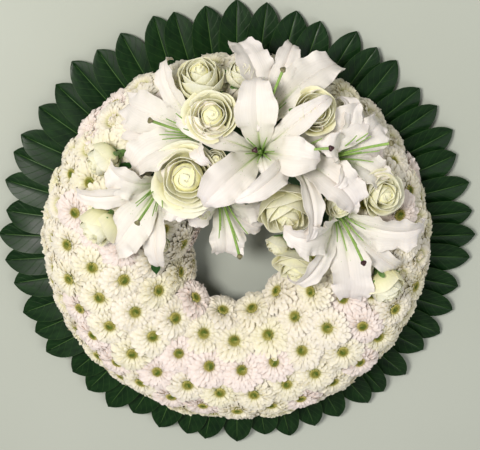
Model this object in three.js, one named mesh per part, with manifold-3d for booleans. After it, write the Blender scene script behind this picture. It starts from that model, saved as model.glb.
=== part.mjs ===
// A round funeral wreath, lying on its back.
// A plastic tray holds a ring of wet floral foam. Broad evergreen leaves are pinned round its side in an
// overlapping collar, chrysanthemum heads are packed over the foam in rows, and a spray of lilies and
// roses covers the half of the ring that points along +Y. Every stem is pushed into the foam.
// Millimetres, +Z up. The origin is the centre of the ring on the surface that the tray stands on.
import * as THREE from "three";
import { mergeVertices } from "three/addons/utils/BufferGeometryUtils.js";
import Module from "manifold-3d";

const wasm = await Module();
wasm.setup();

// ---- driving dimensions
const FOAM = { inner: 104, outer: 196.6, base: 3.3, top: 64, shoulder: 26 };
const TRAY = { wall: 3, floor: 3, height: 14, gap: 0.4 };
const GAP = 0.3; // clearance that neighbouring pieces keep
const CUT = 0.5; // how much larger a piece is when it cuts its neighbour
const RING_SEGMENTS = 32;

// The dome of chrysanthemums: half an ellipse swept round the ring. Its inner side is off centre,
// so the hole lies a little below the middle of the wreath.
const DOME = { radius: 146, halfWidth: 90, height: 85, base: 30, holeShiftX: -4, holeShiftY: -10 };

// Rows of heads from the collar up and over to the hole: the angle up the dome, heads in a full circle,
// the first head's angle, and the arc that the row covers where the spray leaves room for it.
const ROWS = [
  { slope: 12, count: 35, first: 5, from: 0, to: 360 },
  { slope: 29, count: 33, first: 0, from: 0, to: 360 },
  { slope: 49, count: 30, first: 186, from: 112, to: 428 },
  { slope: 71, count: 26, first: 180, from: 125, to: 400 },
  { slope: 95, count: 21, first: 187, from: 140, to: 390 },
  { slope: 120, count: 15, first: 174, from: 150, to: 385 },
  { slope: 146, count: 11, first: 192, from: 150, to: 385 },
  { slope: 168, count: 10, first: 156, from: 150, to: 215 },
];
const HEAD = { radius: 24.3, crown: 5, depth: 13, sides: 6, stem: 1.7, length: 72, hold: 60 };
const PRESS = { step: 3, most: 24, bite: 300 }; // mm down the stem, and the mm3 that a petal may bite off
const CLUSTERS = 18;

const LEAF = { count: 52, root: 203, tip: 306, halfWidth: 21.5, thickness: 0.9, roll: 13, fold: 0.16 };
const LEAF_WIDTH = [[0, 0.3], [0.25, 0.82], [0.5, 1], [0.78, 0.8], [0.92, 0.42], [1, 0.05]];
const COLLAR = { parts: 13, inner: 199, outer: 212, base: 14.6, thickness: 2 };
const PIN = { radius: 0.9, depth: 24, perPart: 1 };

const TEPAL_PATH = [[3, 2], [9, 22], [20, 42], [39, 60], [62, 69], [84, 66], [98, 54]];
const TEPAL_WIDTH = [[0, 0.2], [0.2, 0.4], [0.42, 0.85], [0.62, 1], [0.8, 0.82], [0.93, 0.42], [1, 0.04]];
const TEPAL = { petal: 25, sepal: 14.5, thickness: 1, cup: 0.3 };
const PISTIL = { radius: 1.8, height: 112, knob: 4 };
const FLOWER_STEM = { lily: 3.5, rose: 2.6, leaf: 1.2, target: 34 };

// Lily stems, each with one or two blooms. A bloom is given by where its receptacle sits (angle round the
// ring, radius, height), which way it faces (compass direction of the lean, lean from upright) and its
// tepals as [angle round the flower, reach], petals and narrower sepals taking turns.
const LILY_STEMS = [
  [
    { at: [78, 144, 95], facing: [103, 21],
      tepals: [[32, 0.95], [98, 0.3], [158, 0.75], [204, 1.08], [262, 0.92], [330, 1.08]] },
    { at: [69, 149, 96], facing: [36, 36],
      tepals: [[182, 1.02], [142, 1.08], [260, 1], [322, 0.3], [22, 0.3], [84, 1.1]] },
  ],
  [{ at: [100, 162, 98], facing: [146, 48],
    tepals: [[346, 0.9], [75, 0.5], [160, 0.5], [242, 1], [288, 1.02], [310, 1.05]] }],
  [{ at: [128, 139, 90], facing: [213, 17],
    tepals: [[204, 0.7], [238, 1], [290, 0.95], [330, 1], [30, 0.5], [115, 0.5]] }],
  [{ at: [80, 172, 95], facing: [76, 57],
    tepals: [[228, 1.12], [262, 1], [310, 0.98], [10, 0.4], [75, 0.3], [165, 0.7]] }],
  [{ at: [52, 168, 93], facing: [31, 50],
    tepals: [[186, 0.66], [228, 0.55], [272, 0.65], [330, 0.7], [45, 0.5], [115, 0.5]] }],
  [{ at: [32, 137, 90], facing: [-47, 24],
    tepals: [[126, 0.85], [184, 1], [232, 1.14], [274, 1.04], [316, 1.06], [40, 0.5]] }],
  [{ at: [106, 88, 62], facing: [-62, 32],
    tepals: [[240, 0.68], [298, 0.6], [350, 0.5], [50, 0.5], [98, 0.5], [152, 0.5]] }],
];

// Roses: the middle of the bloom's rim (angle, radius, height), the way it faces, its radius, and how
// far it has opened, from 0 for a bud to 1.
const ROSES = [
  { at: [100, 250, 114], facing: [96, 56], radius: 31, open: 0.35 },
  { at: [98, 206, 146], facing: [95, 26], radius: 29, open: 0.85 },
  { at: [89, 248, 108], facing: [80, 55], radius: 19, open: 0.3 },
  { at: [114, 144, 158], facing: [120, 14], radius: 37, open: 1 },
  { at: [99, 152, 148], facing: [90, 30], radius: 17, open: 0.3 },
  { at: [141, 216, 124], facing: [195, 62], radius: 24, open: 0.25 },
  { at: [163, 180, 136], facing: [222, 60], radius: 28, open: 0.4 },
  { at: [66, 226, 138], facing: [60, 30], radius: 27, open: 0.7 },
  { at: [52, 99, 150], facing: [-80, 34], radius: 37, open: 0.7 },
  { at: [36, 150, 142], facing: [-60, 16], radius: 19, open: 0.6 },
  { at: [30, 203, 134], facing: [20, 30], radius: 27, open: 0.8 },
  { at: [-8, 72, 108], facing: [-110, 44], radius: 27, open: 0.9 },
  { at: [-10, 190, 124], facing: [-62, 62], radius: 26, open: 0.3 },
  { at: [14, 50, 92], facing: [-125, 60], radius: 17, open: 0.7 },
  { at: [121, 80, 120], facing: [-115, 40], radius: 10, open: 0.3 },
  { at: [163, 96, 122], facing: [-85, 34], radius: 12, open: 0.5 },
  { at: [66, 236, 104], facing: [68, 64], radius: 22, open: 0.5 },
];
const ROSE_SIDES = 8;

// Loose rose leaves tucked into the spray: root, compass direction, rise of the blade, length.
const ROSE_LEAVES = [
  { at: [131, 170, 108], heading: 190, rise: 6, length: 44 },
  { at: [171, 100, 126], heading: 272, rise: -8, length: 24 },
];

const COLOURS = {
  tray: 0x1d2b20, foam: 0x2e4a2c, leaf: 0x1c3f1f, chrysanthemum: 0xf2ecda,
  lily: 0xf6f1ea, rose: 0xf1ecc2, roseLeaf: 0x2b5a24,
};

// ---- small helpers
const rad = THREE.MathUtils.degToRad;
const vec = (x, y, z) => new THREE.Vector3(x, y, z);

// A point from its angle round the ring, its radius and its height.
function ringPoint(angle, radius, height) {
  return vec(radius * Math.cos(rad(angle)), radius * Math.sin(rad(angle)), height);
}

// The direction that leans from upright towards a compass direction.
function leaning(compass, lean) {
  const flat = Math.sin(rad(lean));
  return vec(flat * Math.cos(rad(compass)), flat * Math.sin(rad(compass)), Math.cos(rad(lean)));
}

// Reads y at x from a list of [x, y] joined by straight lines.
function along(table, x) {
  const next = table.findIndex(([at]) => at >= x);
  if (next < 1) return next === 0 ? table[0][1] : table[table.length - 1][1];
  const [x0, y0] = table[next - 1];
  const [x1, y1] = table[next];
  return y0 + ((y1 - y0) * (x - x0)) / (x1 - x0);
}

// A repeatable wobble between -1 and 1, so that no two blooms are set quite alike.
function wobble(n) {
  return Math.sin(n * 12.9898) * Math.cos(n * 4.1414);
}

// ---- solids
function solidFrom(positions, triangles) {
  const mesh = new wasm.Mesh({
    numProp: 3,
    vertProperties: new Float32Array(positions),
    triVerts: new Uint32Array(triangles),
  });
  const made = new wasm.Manifold(mesh);
  if (made.volume() > 0) return made;
  for (let i = 0; i < triangles.length; i += 3) {
    [triangles[i + 1], triangles[i + 2]] = [triangles[i + 2], triangles[i + 1]];
  }
  return solidFrom(positions, triangles);
}

function solidOf(geometry) {
  geometry.deleteAttribute("normal");
  geometry.deleteAttribute("uv");
  const merged = mergeVertices(geometry, 1e-3);
  return solidFrom([...merged.attributes.position.array], [...merged.index.array]);
}

// A solid of revolution about an axis that starts at `base`; the profile is [radius, distance along].
function turned(profile, base, axis, sides) {
  const points = profile.map(([r, h]) => new THREE.Vector2(r, h));
  const lathe = new THREE.LatheGeometry(points, sides);
  lathe.applyQuaternion(new THREE.Quaternion().setFromUnitVectors(vec(0, 1, 0), axis));
  lathe.translate(base.x, base.y, base.z);
  return solidOf(lathe);
}

// A straight stem or pin with four sides; grown by a clearance, it is thicker and longer.
function rod(from, to, thickness, grow) {
  const axis = to.clone().sub(from);
  const length = axis.length() + grow;
  const radius = thickness + grow;
  return turned([[0, 0], [radius, 0], [radius, length], [0, length]], from, axis.normalize(), 4);
}

// The direction square to the surface at(u, v).
function surfaceNormal(at, u, v) {
  const step = 1e-3;
  const along = at(u + step, v).sub(at(u - step, v));
  const across = at(u, v + step).sub(at(u, v - step));
  return along.cross(across).normalize();
}

// A thin closed sheet about the surface at(u, v), u running along it and v across it.
function sheet(at, stations, lanes, thickness) {
  const positions = [];
  for (const side of [0.5, -0.5]) {
    for (const u of stations) {
      for (const v of lanes) {
        const offset = surfaceNormal(at, u, v).multiplyScalar(side * thickness);
        positions.push(...at(u, v).add(offset));
      }
    }
  }
  const wide = lanes.length;
  const long = stations.length;
  const under = wide * long;
  const triangles = [];
  const quad = (a, b, c, d) => triangles.push(a, b, c, a, c, d);
  for (let i = 0; i < long - 1; i++) {
    for (let j = 0; j < wide - 1; j++) {
      const a = i * wide + j;
      quad(a, a + wide, a + wide + 1, a + 1);
      quad(under + a, under + a + 1, under + a + wide + 1, under + a + wide);
    }
    const left = i * wide;
    const right = left + wide - 1;
    quad(left, under + left, under + left + wide, left + wide);
    quad(right, right + wide, under + right + wide, under + right);
  }
  for (let j = 0; j < wide - 1; j++) {
    const root = j;
    const tip = (long - 1) * wide + j;
    quad(root, root + 1, under + root + 1, under + root);
    quad(tip, under + tip, under + tip + 1, tip + 1);
  }
  return solidFrom(positions, triangles);
}

// A petal or leaf about the surface at(u, v): thickest along its middle, with sharp edges and ends.
// Grown by a clearance, it is a sheet of even thickness.
function blade(at, stations, thickness, grow) {
  if (grow > 0) return sheet(at, stations, [-1, 0, 1], thickness + 2 * grow);
  const positions = [...at(stations[0], 0)];
  const inner = stations.slice(1, -1);
  for (const u of inner) {
    const offset = surfaceNormal(at, u, 0).multiplyScalar(thickness / 2);
    positions.push(...at(u, -1), ...at(u, 0).add(offset), ...at(u, 1), ...at(u, 0).sub(offset));
  }
  positions.push(...at(stations[stations.length - 1], 0));
  const last = 4 * inner.length + 1;
  const triangles = [];
  for (let k = 0; k < 4; k++) {
    const next = (k + 1) % 4;
    triangles.push(0, 1 + next, 1 + k);
    triangles.push(last, last - 4 + k, last - 4 + next);
    for (let i = 1; i + 4 < last; i += 4) {
      triangles.push(i + k, i + next, i + 4 + k, i + next, i + 4 + next, i + 4 + k);
    }
  }
  return solidFrom(positions, triangles);
}

function union(solids) {
  return solids.reduce((all, one) => all.add(one));
}

function largest(solid) {
  const parts = solid.decompose();
  return parts.reduce((best, part) => (part.volume() > best.volume() ? part : best));
}

// ---- tray and foam
function trayProfile() {
  const { wall, floor, height, gap } = TRAY;
  const inner = FOAM.inner - gap;
  const outer = FOAM.outer + gap;
  return [
    [inner - wall, 0], [outer + wall, 0], [outer + wall, height], [outer, height], [outer, floor],
    [inner, floor], [inner, height], [inner - wall, height], [inner - wall, 0],
  ];
}

function foamProfile() {
  const { inner, outer, base, top, shoulder } = FOAM;
  return [
    [inner, base], [outer, base], [outer, top - shoulder], [outer - shoulder / 3, top - shoulder / 3],
    [outer - shoulder, top], [inner + shoulder, top], [inner + shoulder / 3, top - shoulder / 3],
    [inner, top - shoulder], [inner, base],
  ];
}

// ---- leaf collar
// The upper side of a leaf in the ring's frame: u from root to tip, v from the edge that lies under
// the neighbour clockwise to the edge that lies over the neighbour anticlockwise.
function leafPoint(leaf, grow, u, v) {
  const outline = along(LEAF_WIDTH, u);
  const across = v * (LEAF.halfWidth * leaf.width * outline + grow);
  const rolled = Math.tan(rad(LEAF.roll));
  const height = COLLAR.base + 1 - 4 * u + 2.5 * Math.sin(Math.PI * u) - 2.5 * u * u;
  const x = LEAF.root + (leaf.tip - LEAF.root) * u;
  const turn = rad(leaf.skew) * (x - LEAF.root);
  const point = vec(x, across + turn, height + Math.abs(across) * LEAF.fold + across * rolled);
  return point.applyAxisAngle(vec(0, 0, 1), rad(leaf.angle));
}

// The four leaves that point along the axes keep the full reach, so the collar's box is square.
function collarLeaf(index) {
  const onAxis = index % (LEAF.count / 4) === 0;
  return {
    angle: (index * 360) / LEAF.count,
    tip: onAxis ? LEAF.tip : LEAF.tip - 5 - 5 * wobble(index),
    width: 1 + 0.06 * wobble(index + 7),
    skew: onAxis ? 0 : 4 * wobble(index + 3),
  };
}

function leafSolid(leaf, grow) {
  return blade((u, v) => leafPoint(leaf, grow, u, v), [-0.02, 0.25, 0.55, 0.84, 1], LEAF.thickness, grow);
}

// One part of the collar: its leaves, the band of overlapping leaf roots that lies on the tray's rim,
// and the wire pins that hold it in the side of the foam.
function collarPart(part, grow) {
  const leaves = LEAF.count / COLLAR.parts;
  const span = 360 / COLLAR.parts;
  const slack = THREE.MathUtils.radToDeg((GAP - grow) / COLLAR.inner);
  const middle = (leaves * part + (leaves - 1) / 2) * (360 / LEAF.count);
  const from = middle - span / 2 + slack;
  const to = middle + span / 2 - slack;
  const depth = COLLAR.thickness / 2 + grow;
  const height = COLLAR.base + COLLAR.thickness / 2;
  const band = (u, v) => {
    const radius = (COLLAR.inner + COLLAR.outer) / 2 + v * ((COLLAR.outer - COLLAR.inner) / 2);
    return ringPoint(from + (to - from) * u, radius, height);
  };
  const pieces = [sheet(band, [0, 0.5, 1], [-1, 1], 2 * depth)];
  for (let i = 0; i < leaves; i++) pieces.push(leafSolid(collarLeaf(leaves * part + i), grow));
  for (let i = 0; i < PIN.perPart; i++) pieces.push(pin(from + ((i + 0.5) / PIN.perPart) * span, grow));
  return union(pieces);
}

function pin(angle, grow) {
  const height = COLLAR.base + COLLAR.thickness / 2;
  const outside = ringPoint(angle, COLLAR.inner + 4, height);
  const inside = ringPoint(angle, FOAM.outer - PIN.depth, height);
  return rod(outside, inside, PIN.radius, grow);
}

// ---- chrysanthemums
function domePoint(slope, angle) {
  const up = Math.sin(rad(slope));
  const out = Math.cos(rad(slope));
  const point = ringPoint(angle, DOME.radius + DOME.halfWidth * out, DOME.base + DOME.height * up);
  const inside = Math.max(0, -out);
  return point.add(vec(DOME.holeShiftX * inside, DOME.holeShiftY * inside, 0));
}

function domeNormal(slope, angle) {
  const out = Math.cos(rad(slope)) / DOME.halfWidth;
  const up = Math.sin(rad(slope)) / DOME.height;
  return ringPoint(angle, out, up).normalize();
}

function rowOfHeads(row) {
  const heads = [];
  for (let i = 0; i < row.count; i++) {
    const angle = row.first + (i * 360) / row.count;
    const start = ((((angle - row.from) % 360) + 360) % 360) + row.from;
    if (start > row.to) continue;
    const number = row.slope + i;
    const slope = row.slope + 1.5 * wobble(number);
    const turn = angle + 0.8 * wobble(number + 5);
    const radius = HEAD.radius + wobble(number + 2);
    heads.push({ at: domePoint(slope, turn), axis: domeNormal(slope, turn), radius, angle: turn });
  }
  return heads;
}

function nearestTo(head, others) {
  return others.reduce((best, one) => (one.at.distanceTo(head.at) < best.at.distanceTo(head.at) ? one : best));
}

// The outermost row is shared out among the clusters by angle; every other head joins the cluster of
// its nearest neighbour in the row outside it, so that each cluster holds together.
function chrysanthemumHeads() {
  const [outermost, ...others] = ROWS.map(rowOfHeads);
  for (const head of outermost) head.cluster = Math.floor((((head.angle + 360) % 360) * CLUSTERS) / 360);
  let outside = outermost;
  for (const row of others) {
    for (const head of row) head.cluster = nearestTo(head, outside).cluster;
    outside = row;
  }
  return [outermost, ...others].flat();
}

function headSolid(head, grow) {
  const { crown, depth, sides } = HEAD;
  const profile = [[0, -depth - 2 * grow], [head.radius + grow, 0], [0, crown + 2 * grow]];
  return turned(profile, head.at, head.axis, sides);
}

function headStem(head, grow) {
  const foot = head.at.clone().addScaledVector(head.axis, -HEAD.length);
  const neck = head.at.clone().addScaledVector(head.axis, -HEAD.depth / 2);
  return rod(neck, foot, HEAD.stem, grow);
}

// A head that meets a lily or a rose is pressed down along its stem until it all but clears the flower.
// Where there is no room for it at all, it is left out.
function settled(head) {
  for (let drop = 0; drop <= PRESS.most; drop += PRESS.step) {
    const lower = { ...head, at: head.at.clone().addScaledVector(head.axis, -drop) };
    const solid = headSolid(lower, 0);
    const touched = fitted.filter(({ grown }) => boxesMeet(solid, grown));
    if (touched.every(({ grown }) => solid.intersect(grown).volume() < PRESS.bite)) return [lower];
  }
  return [];
}

function holdsTo(head, other) {
  return headSolid(head, 0).intersect(headSolid(other, 0)).volume() > HEAD.hold;
}

const neckOf = (head) => head.at.clone().addScaledVector(head.axis, -HEAD.depth * 0.6);

// The heads of a cluster hold on to one another. A head that doesn't reach the others is held by a side
// stem to the nearest, and every fifth head carries a stem into the foam for its neighbours.
function clusterSolid(members, grow) {
  const pieces = members.map((head) => headSolid(head, grow));
  members.forEach((head, i) => {
    if (i % 5 === 1) pieces.push(headStem(head, grow));
    if (i === 0) return;
    const others = members.slice(0, i);
    const near = nearestTo(head, others);
    if (!others.some((other) => holdsTo(head, other))) {
      pieces.push(rod(neckOf(head), neckOf(near), HEAD.stem, grow));
    }
  });
  return union(pieces);
}

// ---- lilies
const tepalCurve = new THREE.SplineCurve(TEPAL_PATH.map(([r, h]) => new THREE.Vector2(r, h)));

function flowerFrame(axis) {
  const side = vec(0, 0, 1).cross(axis).normalize();
  return { side, up: axis.clone().cross(side) };
}

function tepalSolid(lily, index, grow) {
  const axis = leaning(...lily.facing);
  const base = ringPoint(...lily.at);
  const { side, up } = flowerFrame(axis);
  const [angle, reach] = lily.tepals[index];
  const rise = Math.min(1, 0.3 + 0.85 * reach);
  const outward = side.clone().multiplyScalar(Math.cos(rad(angle))).addScaledVector(up, Math.sin(rad(angle)));
  const across = axis.clone().cross(outward);
  const half = index % 2 ? TEPAL.sepal : TEPAL.petal;
  const below = index % 2 ? 3 : 0;
  const at = (u, v) => {
    const path = tepalCurve.getPoint(THREE.MathUtils.clamp(u, 0, 1));
    const width = rise * half * along(TEPAL_WIDTH, u) + grow;
    return base.clone()
      .addScaledVector(outward, path.x * reach + below / 2)
      .addScaledVector(axis, path.y * rise - below + TEPAL.cup * width * v * v)
      .addScaledVector(across, v * width);
  };
  const stations = reach < 0.6 ? [0.02, 0.35, 0.75, 1] : [0.02, 0.28, 0.52, 0.74, 0.9, 1];
  return blade(at, stations, TEPAL.thickness, grow);
}

function lilyBloom(lily, grow) {
  const axis = leaning(...lily.facing);
  const base = ringPoint(...lily.at);
  const core = [[0, -4 - grow], [8 + grow, 6], [8 + grow, 18], [0, 26 + grow]];
  const knobAt = base.clone().addScaledVector(axis, PISTIL.height);
  const { knob } = PISTIL;
  const stigma = [[0, -knob - grow], [knob + grow, 0], [0, knob + grow]];
  const pieces = lily.tepals.map((_, index) => tepalSolid(lily, index, grow));
  pieces.push(turned(core, base, axis, 6));
  pieces.push(rod(base, knobAt, PISTIL.radius, grow));
  pieces.push(turned(stigma, knobAt, axis, 5));
  return union(pieces);
}

// The first bloom stands on the stem. A second one branches off from half way down it.
function lilySolid(blooms, grow) {
  const [first, ...others] = blooms;
  const base = ringPoint(...first.at);
  const foot = footInFoam(first.at);
  const fork = base.clone().lerp(foot, 0.5);
  const pieces = [...blooms.map((bloom) => lilyBloom(bloom, grow)), rod(base, foot, FLOWER_STEM.lily, grow)];
  for (const bloom of others) pieces.push(rod(ringPoint(...bloom.at), fork, FLOWER_STEM.rose, grow));
  return union(pieces);
}

// The end of a cut stem, well inside the foam below the place where the flower sits.
function footInFoam([angle, radius]) {
  const inFoam = THREE.MathUtils.clamp(radius, FOAM.inner + 18, FOAM.outer - 18);
  return ringPoint(angle, inFoam, FLOWER_STEM.target);
}

// ---- roses
function roseSolid(rose, grow) {
  const axis = leaning(...rose.facing);
  const rim = ringPoint(...rose.at);
  const r = rose.radius + grow;
  const deep = rose.radius * (1.5 - 0.45 * rose.open);
  const mouth = r * (0.62 + 0.38 * rose.open);
  const profile = [
    [0, -deep - grow], [r * 0.86, -deep * 0.55], [r * 0.96, -deep * 0.12], [mouth, r * 0.08], [0, r * 0.28],
  ];
  const neck = rim.clone().addScaledVector(axis, -deep * 0.8);
  return turned(profile, rim, axis, ROSE_SIDES).add(rod(neck, footInFoam(rose.at), FLOWER_STEM.rose, grow));
}

function roseLeafSolid(leaf, grow) {
  const root = ringPoint(...leaf.at);
  const ahead = vec(Math.cos(rad(leaf.heading)), Math.sin(rad(leaf.heading)), 0);
  const across = vec(0, 0, 1).cross(ahead);
  const at = (u, v) => {
    const outline = Math.max(0.08, Math.sin(Math.PI * Math.min(1, Math.abs(u))));
    const half = leaf.length * 0.24 * outline + grow;
    return root.clone()
      .addScaledVector(ahead, leaf.length * u)
      .addScaledVector(across, v * half)
      .add(vec(0, 0, leaf.rise * Math.sin(1.6 * u) + 0.2 * half * Math.abs(v)));
  };
  const leafBlade = blade(at, [-0.02, 0.3, 0.6, 1], LEAF.thickness, grow);
  return leafBlade.add(rod(root, footInFoam(leaf.at), FLOWER_STEM.leaf, grow));
}

// ---- assembly
// Pieces are fitted in order: each one is cut back, with a clearance, where an earlier one already is.
const group = new THREE.Group();
const fitted = [];

function boxesMeet(a, b) {
  const p = a.boundingBox();
  const q = b.boundingBox();
  return [0, 1, 2].every((i) => p.min[i] < q.max[i] && q.min[i] < p.max[i]);
}

function fit(name, colour, solidAt) {
  let solid = solidAt(0);
  for (const earlier of fitted) {
    if (boxesMeet(solid, earlier.grown)) solid = solid.subtract(earlier.grown);
  }
  solid = largest(solid);
  fitted.push({ name, grown: solidAt(CUT) });
  const mesh = solid.getMesh();
  const geometry = new THREE.BufferGeometry();
  geometry.setAttribute("position", new THREE.BufferAttribute(mesh.vertProperties, 3));
  geometry.setIndex(new THREE.BufferAttribute(mesh.triVerts, 1));
  const material = new THREE.MeshStandardMaterial({ color: colour, roughness: 0.6, metalness: 0, flatShading: true });
  const piece = new THREE.Mesh(geometry, material);
  piece.name = name;
  group.add(piece);
}

const numbered = (word, index) => `${word}_${String(index + 1).padStart(2, "0")}`;

LILY_STEMS.forEach((blooms, i) => fit(numbered("lily", i), COLOURS.lily, (grow) => lilySolid(blooms, grow)));
ROSES.forEach((rose, i) => fit(numbered("rose", i), COLOURS.rose, (grow) => roseSolid(rose, grow)));
ROSE_LEAVES.forEach((leaf, i) => {
  fit(numbered("rose_leaf", i), COLOURS.roseLeaf, (grow) => roseLeafSolid(leaf, grow));
});
for (let part = 0; part < COLLAR.parts; part++) {
  fit(numbered("leaf_collar", part), COLOURS.leaf, (grow) => collarPart(part, grow));
}
const heads = chrysanthemumHeads().flatMap(settled);
for (let cluster = 0; cluster < CLUSTERS; cluster++) {
  const members = heads.filter((head) => head.cluster === cluster);
  fit(numbered("chrysanthemum_cluster", cluster), COLOURS.chrysanthemum, (grow) => clusterSolid(members, grow));
}
fit("foam_ring", COLOURS.foam, () => turned(foamProfile(), vec(0, 0, 0), vec(0, 0, 1), RING_SEGMENTS));
fit("ring_tray", COLOURS.tray, () => turned(trayProfile(), vec(0, 0, 0), vec(0, 0, 1), RING_SEGMENTS));

export default group;
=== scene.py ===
import math

import bpy
import numpy as np
from mathutils.bvhtree import BVHTree
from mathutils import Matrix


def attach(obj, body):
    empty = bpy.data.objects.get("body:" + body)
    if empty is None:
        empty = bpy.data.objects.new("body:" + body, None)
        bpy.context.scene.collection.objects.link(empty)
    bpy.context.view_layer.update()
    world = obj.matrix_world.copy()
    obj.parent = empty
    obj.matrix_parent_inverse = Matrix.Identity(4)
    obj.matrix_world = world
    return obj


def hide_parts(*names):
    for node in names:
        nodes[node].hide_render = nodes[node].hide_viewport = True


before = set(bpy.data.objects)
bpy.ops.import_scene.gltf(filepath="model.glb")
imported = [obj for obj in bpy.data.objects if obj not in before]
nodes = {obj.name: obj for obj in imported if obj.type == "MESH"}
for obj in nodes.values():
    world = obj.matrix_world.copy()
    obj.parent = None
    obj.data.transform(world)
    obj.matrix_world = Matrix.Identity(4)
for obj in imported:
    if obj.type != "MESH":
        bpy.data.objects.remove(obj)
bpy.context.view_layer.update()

# ---- dimensions shared with the CAD model
# Three are the scene's own: LEAF_OUTLINE and TEPAL_WIDTH are finer, with slimmer tips, and MOST_PRESSED
# looks a little further down than the CAD presses a head.
FOAM_INNER, FOAM_OUTER, FOAM_BASE, FOAM_TOP, FOAM_SHOULDER = 104, 196.6, 3.3, 64, 26
TRAY_WALL, TRAY_HEIGHT, TRAY_GAP = 3, 14, 0.4
DOME_RADIUS, DOME_HALF_WIDTH, DOME_HEIGHT, DOME_BASE, HOLE_SHIFT = 146, 90, 85, 30, (-4, -10)
ROWS = [  # angle up the dome, heads in a full circle, first angle, arc
    (12, 35, 5, 0, 360), (29, 33, 0, 0, 360), (49, 30, 186, 112, 428), (71, 26, 180, 125, 400),
    (95, 21, 187, 140, 390), (120, 15, 174, 150, 385), (146, 11, 192, 150, 385), (168, 10, 156, 150, 215),
]
HEAD_CROWN, HEAD_STEM, HEAD_STEM_LENGTH, MOST_PRESSED = 5, 1.7, 72, 26
LEAVES, LEAF_ROOT, LEAF_TIP, LEAF_HALF, LEAF_ROLL, LEAF_FOLD = 52, 203, 306, 21.5, 13, 0.16
LEAF_OUTLINE = [(-.02, .3), (.06, .48), (.15, .68), (.28, .87), (.42, .98), (.56, 1), (.68, .96), (.78, .86),
                (.86, .7), (.92, .5), (.96, .3), (.985, .13), (1, .03)]
COLLAR_PARTS, COLLAR_BASE, COLLAR_INNER, COLLAR_OUTER = 13, 14.6, 199, 212
TEPAL_PATH = np.array([[3, 2], [9, 22], [20, 42], [39, 60], [62, 69], [84, 66], [98, 54]], float)
TEPAL_WIDTH = [(0, .2), (.1, .27), (.2, .4), (.31, .62), (.42, .84), (.52, .96), (.62, .98), (.71, .88),
               (.8, .71), (.88, .48), (.94, .28), (.98, .13), (1, .03)]
PETAL_HALF, SEPAL_HALF, TEPAL_CUP = 25, 14.5, 0.3
PISTIL_RADIUS, PISTIL_HEIGHT, KNOB = 1.8, 112, 4
STEM_TARGET, FOOT_MARGIN = 34, 18  # how high a stem ends in the foam, and how far in from its sides
LILY_STEMS = [
    [((78, 144, 95), (103, 21), [(32, .95), (98, .3), (158, .75), (204, 1.08), (262, .92), (330, 1.08)]),
     ((69, 149, 96), (36, 36), [(182, 1.02), (142, 1.08), (260, 1), (322, .3), (22, .3), (84, 1.1)])],
    [((100, 162, 98), (146, 48), [(346, .9), (75, .5), (160, .5), (242, 1), (288, 1.02), (310, 1.05)])],
    [((128, 139, 90), (213, 17), [(204, .7), (238, 1), (290, .95), (330, 1), (30, .5), (115, .5)])],
    [((80, 172, 95), (76, 57), [(228, 1.12), (262, 1), (310, .98), (10, .4), (75, .3), (165, .7)])],
    [((52, 168, 93), (31, 50), [(186, .66), (228, .55), (272, .65), (330, .7), (45, .5), (115, .5)])],
    [((32, 137, 90), (-47, 24), [(126, .85), (184, 1), (232, 1.14), (274, 1.04), (316, 1.06), (40, .5)])],
    [((106, 88, 62), (-62, 32), [(240, .68), (298, .6), (350, .5), (50, .5), (98, .5), (152, .5)])],
]
DARK_STIGMAS = (0, 1, 6)
PRESSED_BLOOM, PRESSED_FILAMENTS = 4, 0.6  # a bloom that leans on its neighbour, and its filaments' share
ROSES = [  # rim point, facing, radius, how far open
    ((100, 250, 114), (96, 56), 31, .35), ((98, 206, 146), (95, 26), 29, .85),
    ((89, 248, 108), (80, 55), 19, .3), ((114, 144, 158), (120, 14), 37, 1),
    ((99, 152, 148), (90, 30), 17, .3), ((141, 216, 124), (195, 62), 24, .25),
    ((163, 180, 136), (222, 60), 28, .4), ((66, 226, 138), (60, 30), 27, .7),
    ((52, 99, 150), (-80, 34), 37, .7), ((36, 150, 142), (-60, 16), 19, .6),
    ((30, 203, 134), (20, 30), 27, .8), ((-8, 72, 108), (-110, 44), 27, .9),
    ((-10, 190, 124), (-62, 62), 26, .3), ((14, 50, 92), (-125, 60), 17, .7),
    ((121, 80, 120), (-115, 40), 10, .3), ((163, 96, 122), (-85, 34), 12, .5),
    ((66, 236, 104), (68, 64), 22, .5),
]
ROSE_LEAVES = [((131, 170, 108), 190, 6, 44), ((171, 100, 126), 272, -8, 24)]

# ---- numbers used throughout
ABOUT_A_TURN = 6.28  # radians
GOLDEN_ANGLE = 2.39996  # radians from one floret or rose petal to the next
HEAD_SEED, LAYOUT_SEED, LILY_SEED, ROSE_SEED, LEAF_SEED = 500, 21, 900, 300, 700


# ---- small helpers
def unit(v):
    v = np.asarray(v, float)
    return v / np.linalg.norm(v)


def ring_point(angle, radius, height):
    a = math.radians(angle)
    return np.array([radius * math.cos(a), radius * math.sin(a), height])


def leaning(compass, lean):
    c, tilt = math.radians(compass), math.radians(lean)
    return np.array([math.sin(tilt) * math.cos(c), math.sin(tilt) * math.sin(c), math.cos(tilt)])


def wobble(n):
    return math.sin(12.9898 * n) * math.cos(4.1414 * n)


def flower_frame(axis, spin=0.0):
    """Side, up and axis of a frame that stands on the axis, turned about it by spin radians."""
    axis = unit(axis)
    side = np.cross((0, 0, 1), axis)
    side = unit(side) if np.linalg.norm(side) > 1e-6 else np.array([1.0, 0, 0])
    up = np.cross(axis, side)
    c, s = math.cos(spin), math.sin(spin)
    return np.array([c * side + s * up, c * up - s * side, axis])


def foot_in_foam(at):
    """The place in the foam, below a bloom, where its stem ends."""
    radius = min(max(at[1], FOAM_INNER + FOOT_MARGIN), FOAM_OUTER - FOOT_MARGIN)
    return ring_point(at[0], radius, STEM_TARGET)


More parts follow.
